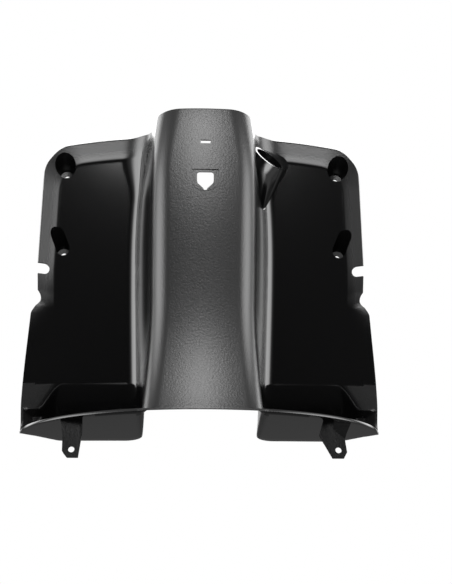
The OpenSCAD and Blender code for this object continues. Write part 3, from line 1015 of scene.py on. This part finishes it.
@dataclass(frozen=True)
class MouldGrain:
    """Grain of the mould, from a coarse and a fine noise, shared by the finishes."""

    name: str = "mould_grain"
    mask: str = "grain"
    detail: float = 3.0
    coarse_size: float = 520.0
    coarse_height: float = 0.00016
    fine_size: float = 1900.0
    fine_height: float = 0.00003

    def group(self) -> bpy.types.ShaderNodeTree:
        """Builds the node group, once.

        Returns:
            The group. It takes the place, the mask and the roughness of the
            polished and the grained plastic, and gives roughness and normal.
        """
        made = bpy.data.node_groups.get(self.name)
        if made:
            return made
        made = bpy.data.node_groups.new(self.name, "ShaderNodeTree")
        number, vector = "NodeSocketFloat", "NodeSocketVector"
        takes = {"Place": vector, "Mask": number, "Polished": number, "Grained": number}
        gives = {"Roughness": number, "Normal": vector}
        for way, sockets in (("INPUT", takes), ("OUTPUT", gives)):
            for name, kind in sockets.items():
                made.interface.new_socket(name=name, in_out=way, socket_type=kind)
        nodes, links = made.nodes, made.links
        given, out = nodes.new("NodeGroupInput").outputs, nodes.new("NodeGroupOutput").inputs
        finish = nodes.new("ShaderNodeMapRange")
        links.new(given["Mask"], finish.inputs["Value"])
        links.new(given["Polished"], finish.inputs["To Min"])
        links.new(given["Grained"], finish.inputs["To Max"])
        links.new(finish.outputs["Result"], out["Roughness"])
        coarse = self.bump(made, given, self.coarse_size, self.coarse_height)
        fine = self.bump(made, given, self.fine_size, self.fine_height)
        links.new(coarse.outputs["Normal"], fine.inputs["Normal"])
        links.new(fine.outputs["Normal"], out["Normal"])
        return made

    def bump(
        self, tree: bpy.types.ShaderNodeTree, given: bpy.types.NodeOutputs, size: float, height: float
    ) -> bpy.types.ShaderNode:
        """Adds one noise as a bump, only where the mask is.

        Args:
            tree: The group's nodes.
            given: What the group takes.
            size: Cells of the noise to the metre.
            height: Height of the grain.

        Returns:
            The bump node.
        """
        noise = tree.nodes.new("ShaderNodeTexNoise")
        noise.inputs["Scale"].default_value = size
        noise.inputs["Detail"].default_value = self.detail
        tree.links.new(given["Place"], noise.inputs["Vector"])
        masked = tree.nodes.new("ShaderNodeMath")
        masked.operation = "MULTIPLY"
        tree.links.new(noise.outputs["Fac"], masked.inputs[0])
        tree.links.new(given["Mask"], masked.inputs[1])
        made = tree.nodes.new("ShaderNodeBump")
        made.inputs["Distance"].default_value = height
        tree.links.new(masked.outputs[0], made.inputs["Height"])
        return made


@dataclass(frozen=True)
class BlackPlastic:
    """Black moulded plastic: polished in the wells, grained on the hump, walls and tabs."""

    name: str = "black_plastic"
    colour: tuple[float, float, float, float] = (0.0025, 0.0025, 0.0026, 1.0)
    ior: float = 1.5
    gloss: float = 0.5
    polished: float = 0.12
    grained: float = 0.34
    grain: MouldGrain = field(default_factory=MouldGrain)

    def make(self) -> bpy.types.Material:
        """Builds the material.

        Returns:
            The material, on Object coordinates and the grain attribute.
        """
        made = bpy.data.materials.new(self.name)
        made.use_nodes = True
        nodes, links = made.node_tree.nodes, made.node_tree.links
        shader = nodes["Principled BSDF"]
        shader.inputs["Base Color"].default_value = self.colour
        shader.inputs["IOR"].default_value = self.ior
        shader.inputs["Specular IOR Level"].default_value = self.gloss
        grain = nodes.new("ShaderNodeGroup")
        grain.node_tree = self.grain.group()
        grain.inputs["Polished"].default_value = self.polished
        grain.inputs["Grained"].default_value = self.grained
        mask = nodes.new("ShaderNodeAttribute")
        mask.attribute_name = self.grain.mask
        links.new(nodes.new("ShaderNodeTexCoord").outputs["Object"], grain.inputs["Place"])
        links.new(mask.outputs["Fac"], grain.inputs["Mask"])
        for name in ("Roughness", "Normal"):
            links.new(grain.outputs[name], shader.inputs[name])
        return made


@dataclass
class LegShield:
    """The whole moulding, one piece."""

    form: Moulding = field(default_factory=Moulding)
    edge_r: float = 0.0006
    edge_angle: float = math.radians(60)
    smooth_angle: float = math.radians(32)
    grain_reach: float = 0.009
    flange_grain: float = 0.75
    toe_grain: float = 0.9
    tab_grain: float = 1.6
    tab_gloss: float = 0.06
    backing_past: float = 0.03

    def build(self) -> bpy.types.Object:
        """Models the moulding and dresses it.

        Returns:
            The finished piece.
        """
        skin = Skin(self.form)
        shell = closed_between("leg_shield_skin", skin.grid(0.0), skin.grid(self.form.wall))
        self.round_edges(shell)
        middle = skin.grid(self.form.wall / 2)[::2, ::2]
        back = middle.copy()
        back[..., 1] = self.form.seat_depth + self.backing_past
        backing = closed_between("backing", middle, back)
        ScrewCups(self.form).build(shell, backing)
        bpy.data.objects.remove(backing, do_unlink=True)
        LockBoss(self.form).build(shell)
        HookRecess(self.form).build(shell)
        SideNotches(self.form).build(shell)
        FixingTabs(self.form).build(shell)
        make_active(shell)
        bpy.ops.object.shade_smooth_by_angle(angle=self.smooth_angle)
        self.mark_grain(shell)
        shell.data.materials.clear()
        shell.data.materials.append(BlackPlastic().make())
        shell.data.materials.append(BlackPlastic("dull_plastic", gloss=self.tab_gloss).make())
        for face in shell.data.polygons:
            face.material_index = int(face.center.z < -self.form.seat_z - self.form.wall / 2)
        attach(shell, "root")
        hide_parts(NODE)
        LOG.info("leg shield: %d faces", len(shell.data.polygons))
        return shell

    def mark_grain(self, shell: bpy.types.Object) -> None:
        """Writes how grained each point is: 0 is polished, 1 the hump, more the tabs.

        Args:
            shell: The moulding.
        """
        count = len(shell.data.vertices)
        points = np.empty(count * 3)
        shell.data.vertices.foreach_get("co", points)
        points = points.reshape(-1, 3)
        form, x, z = self.form, points[:, 0], points[:, 2] + self.form.seat_z
        ax, inside = np.abs(x), np.maximum(z, 0.0)
        hump = ease((form.shoulder_x(inside) + self.grain_reach - ax) / self.grain_reach)
        flange = self.flange_grain * ease(form.flange_rise(x, inside) / (form.flange_h / 2))
        patch = form.toe_half_w + (form.toe_z - z) * form.toe_crease - ax
        toe = self.toe_grain * ease(-patch / self.grain_reach) * (z < form.toe_z)
        tabs = self.tab_grain * ease(-z / (2 * form.wall))
        grain = np.maximum.reduce([hump, flange, toe, tabs])
        shell.data.attributes.new(MouldGrain.mask, "FLOAT", "POINT").data.foreach_set("value", grain)

    def round_edges(self, shell: bpy.types.Object) -> None:
        """Rounds the skin's free edges a little.

        Args:
            shell: The skin.
        """
        make_active(shell)
        bpy.ops.object.modifier_add(type="BEVEL")
        bevel = shell.modifiers[-1]
        bevel.width = self.edge_r
        bevel.segments = 2
        bevel.limit_method = "ANGLE"
        bevel.angle_limit = self.edge_angle
        bpy.ops.object.modifier_apply(modifier=bevel.name)


@dataclass(frozen=True)
class Glow:
    """A soft round patch of the surrounding light: its angles, in degrees, and strengths."""

    azimuth: float
    elevation: float
    full_to: float
    gone_at: float
    middle: float
    outside: float = 0.0


@dataclass(frozen=True)
class Strip:
    """The tall soft strip light above the camera."""

    place: Point = (0.0, -1.5, 0.18)
    aim: Point = (0.0, 0.0, -0.12)
    width: float = 0.38
    height: float = 1.12
    radiance: float = 13.5


def direction(azimuth: float, elevation: float) -> Vector:
    """Gives the direction of an azimuth and an elevation.

    Args:
        azimuth: Degrees to the right of the rider's side.
        elevation: Degrees above level.

    Returns:
        The direction, one unit long.
    """
    a, e = math.radians(azimuth), math.radians(elevation)
    return Vector((math.sin(a) * math.cos(e), -math.cos(a) * math.cos(e), math.sin(e)))


@dataclass
class Studio:
    """Pale floor, soft surrounding light and the camera."""

    floor_z: float = -0.80
    floor_size: float = 30.0
    floor_paint: float = 0.03
    floor_glow: float = 0.76
    azimuth: float = -2.7
    elevation: float = -20.0
    roll: float = math.radians(-0.42)
    distance: float = 1.5
    target: Point = (0.0299, 0.079, -0.104)
    focal: float = 1310.0
    frame_height: float = 584.0
    strip: Strip = field(default_factory=Strip)
    glows: tuple[Glow, ...] = (
        Glow(-2.7, -20, 12, 42, 0.04, 1.0),
        Glow(-2.7, -20, 85, 125, 0.0, -0.85),
        Glow(67, -12, 12, 38, 9.0),
        Glow(-75, -12, 12, 38, 9.0),
        Glow(-2.7, -66, 10, 30, 11.0),
        Glow(177, 46, 8, 44, 7.0),
        Glow(118, 24, 6, 24, 7.0),
        Glow(-122, 24, 6, 24, 7.0),
    )

    def back(self) -> Vector:
        """Gives the direction from the target to the camera."""
        return direction(self.azimuth, self.elevation)

    def floor(self) -> None:
        """Adds the floor."""
        clear_selection()
        bpy.ops.mesh.primitive_plane_add(size=self.floor_size, location=(0, 0, self.floor_z))
        floor = bpy.context.object
        floor.name = "floor"
        paint = bpy.data.materials.new("pale_floor")
        paint.use_nodes = True
        shader = paint.node_tree.nodes["Principled BSDF"]
        shader.inputs["Base Color"].default_value = (self.floor_paint, self.floor_paint, self.floor_paint, 1)
        shader.inputs["Roughness"].default_value = 1.0
        shader.inputs["Specular IOR Level"].default_value = 0.0
        shader.inputs["Emission Color"].default_value = (1, 1, 1, 1)
        shader.inputs["Emission Strength"].default_value = self.floor_glow
        floor.data.materials.append(paint)
        floor.visible_glossy = False

    @staticmethod
    def glow(
        nodes: bpy.types.Nodes, links: bpy.types.NodeLinks, place: bpy.types.NodeSocket, patch: Glow
    ) -> bpy.types.NodeSocket:
        """Adds one patch of the surrounding light.

        Args:
            nodes: Nodes of the world.
            links: Links of the world.
            place: The direction looked in.
            patch: The patch.

        Returns:
            The socket with its strength.
        """
        dot = nodes.new("ShaderNodeVectorMath")
        dot.operation = "DOT_PRODUCT"
        dot.inputs[1].default_value = direction(patch.azimuth, patch.elevation)
        links.new(place, dot.inputs[0])
        angle = nodes.new("ShaderNodeMath")
        angle.operation = "ARCCOSINE"
        links.new(dot.outputs["Value"], angle.inputs[0])
        fall = nodes.new("ShaderNodeMapRange")
        fall.interpolation_type = "SMOOTHSTEP"
        fall.inputs["From Min"].default_value = math.radians(patch.full_to)
        fall.inputs["From Max"].default_value = math.radians(patch.gone_at)
        fall.inputs["To Min"].default_value = patch.middle
        fall.inputs["To Max"].default_value = patch.outside
        links.new(angle.outputs[0], fall.inputs["Value"])
        return fall.outputs["Result"]

    def light(self) -> None:
        """Sets the surrounding light, dim near the camera."""
        world = bpy.data.worlds.new("tent")
        bpy.context.scene.world = world
        world.use_nodes = True
        nodes, links = world.node_tree.nodes, world.node_tree.links
        nodes.clear()
        out = nodes.new("ShaderNodeOutputWorld")
        place = nodes.new("ShaderNodeTexCoord").outputs["Generated"]
        total = self.glow(nodes, links, place, self.glows[0])
        for patch in self.glows[1:]:
            both = nodes.new("ShaderNodeMath")
            links.new(total, both.inputs[0])
            links.new(self.glow(nodes, links, place, patch), both.inputs[1])
            total = both.outputs[0]
        tent = nodes.new("ShaderNodeBackground")
        links.new(total, tent.inputs["Strength"])
        seen = nodes.new("ShaderNodeBackground")
        seen.inputs["Color"].default_value = (1, 1, 1, 1)
        seen.inputs["Strength"].default_value = 1.0
        path = nodes.new("ShaderNodeLightPath")
        blend = nodes.new("ShaderNodeMixShader")
        links.new(path.outputs["Is Camera Ray"], blend.inputs["Fac"])
        links.new(tent.outputs[0], blend.inputs[1])
        links.new(seen.outputs[0], blend.inputs[2])
        links.new(blend.outputs[0], out.inputs["Surface"])

    def strip_light(self) -> None:
        """Adds the strip light above the camera."""
        data = bpy.data.lights.new("strip", "AREA")
        data.shape = "RECTANGLE"
        data.size, data.size_y = self.strip.width, self.strip.height
        data.energy = self.strip.radiance * math.pi * data.size * data.size_y
        strip = bpy.data.objects.new("strip", data)
        bpy.context.collection.objects.link(strip)
        strip.location = self.strip.place
        strip.rotation_euler = (Vector(self.strip.aim) - strip.location).to_track_quat("-Z", "Y").to_euler()

    def camera(self) -> None:
        """Sets the camera at the photograph's angle."""
        data = bpy.data.cameras.new("camera")
        data.lens = self.focal * data.sensor_width / self.frame_height
        camera = bpy.data.objects.new("camera", data)
        bpy.context.collection.objects.link(camera)
        camera.location = Vector(self.target) + self.back() * self.distance
        camera.rotation_mode = "QUATERNION"
        camera.rotation_quaternion = (-self.back()).to_track_quat("-Z", "Y")
        camera.rotation_mode = "XYZ"
        camera.rotation_euler.rotate_axis("Z", self.roll)
        bpy.context.scene.camera = camera

    def build(self) -> None:
        """Sets the whole stage."""
        self.floor()
        self.light()
        self.strip_light()
        self.camera()
        bpy.context.scene.view_settings.view_transform = "Standard"


def main() -> None:
    """Builds the part and its stage."""
    logging.basicConfig(level=logging.INFO, format="%(name)s: %(message)s")
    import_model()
    LegShield().build()
    Studio().build()


if __name__ == "__main__":
    main()
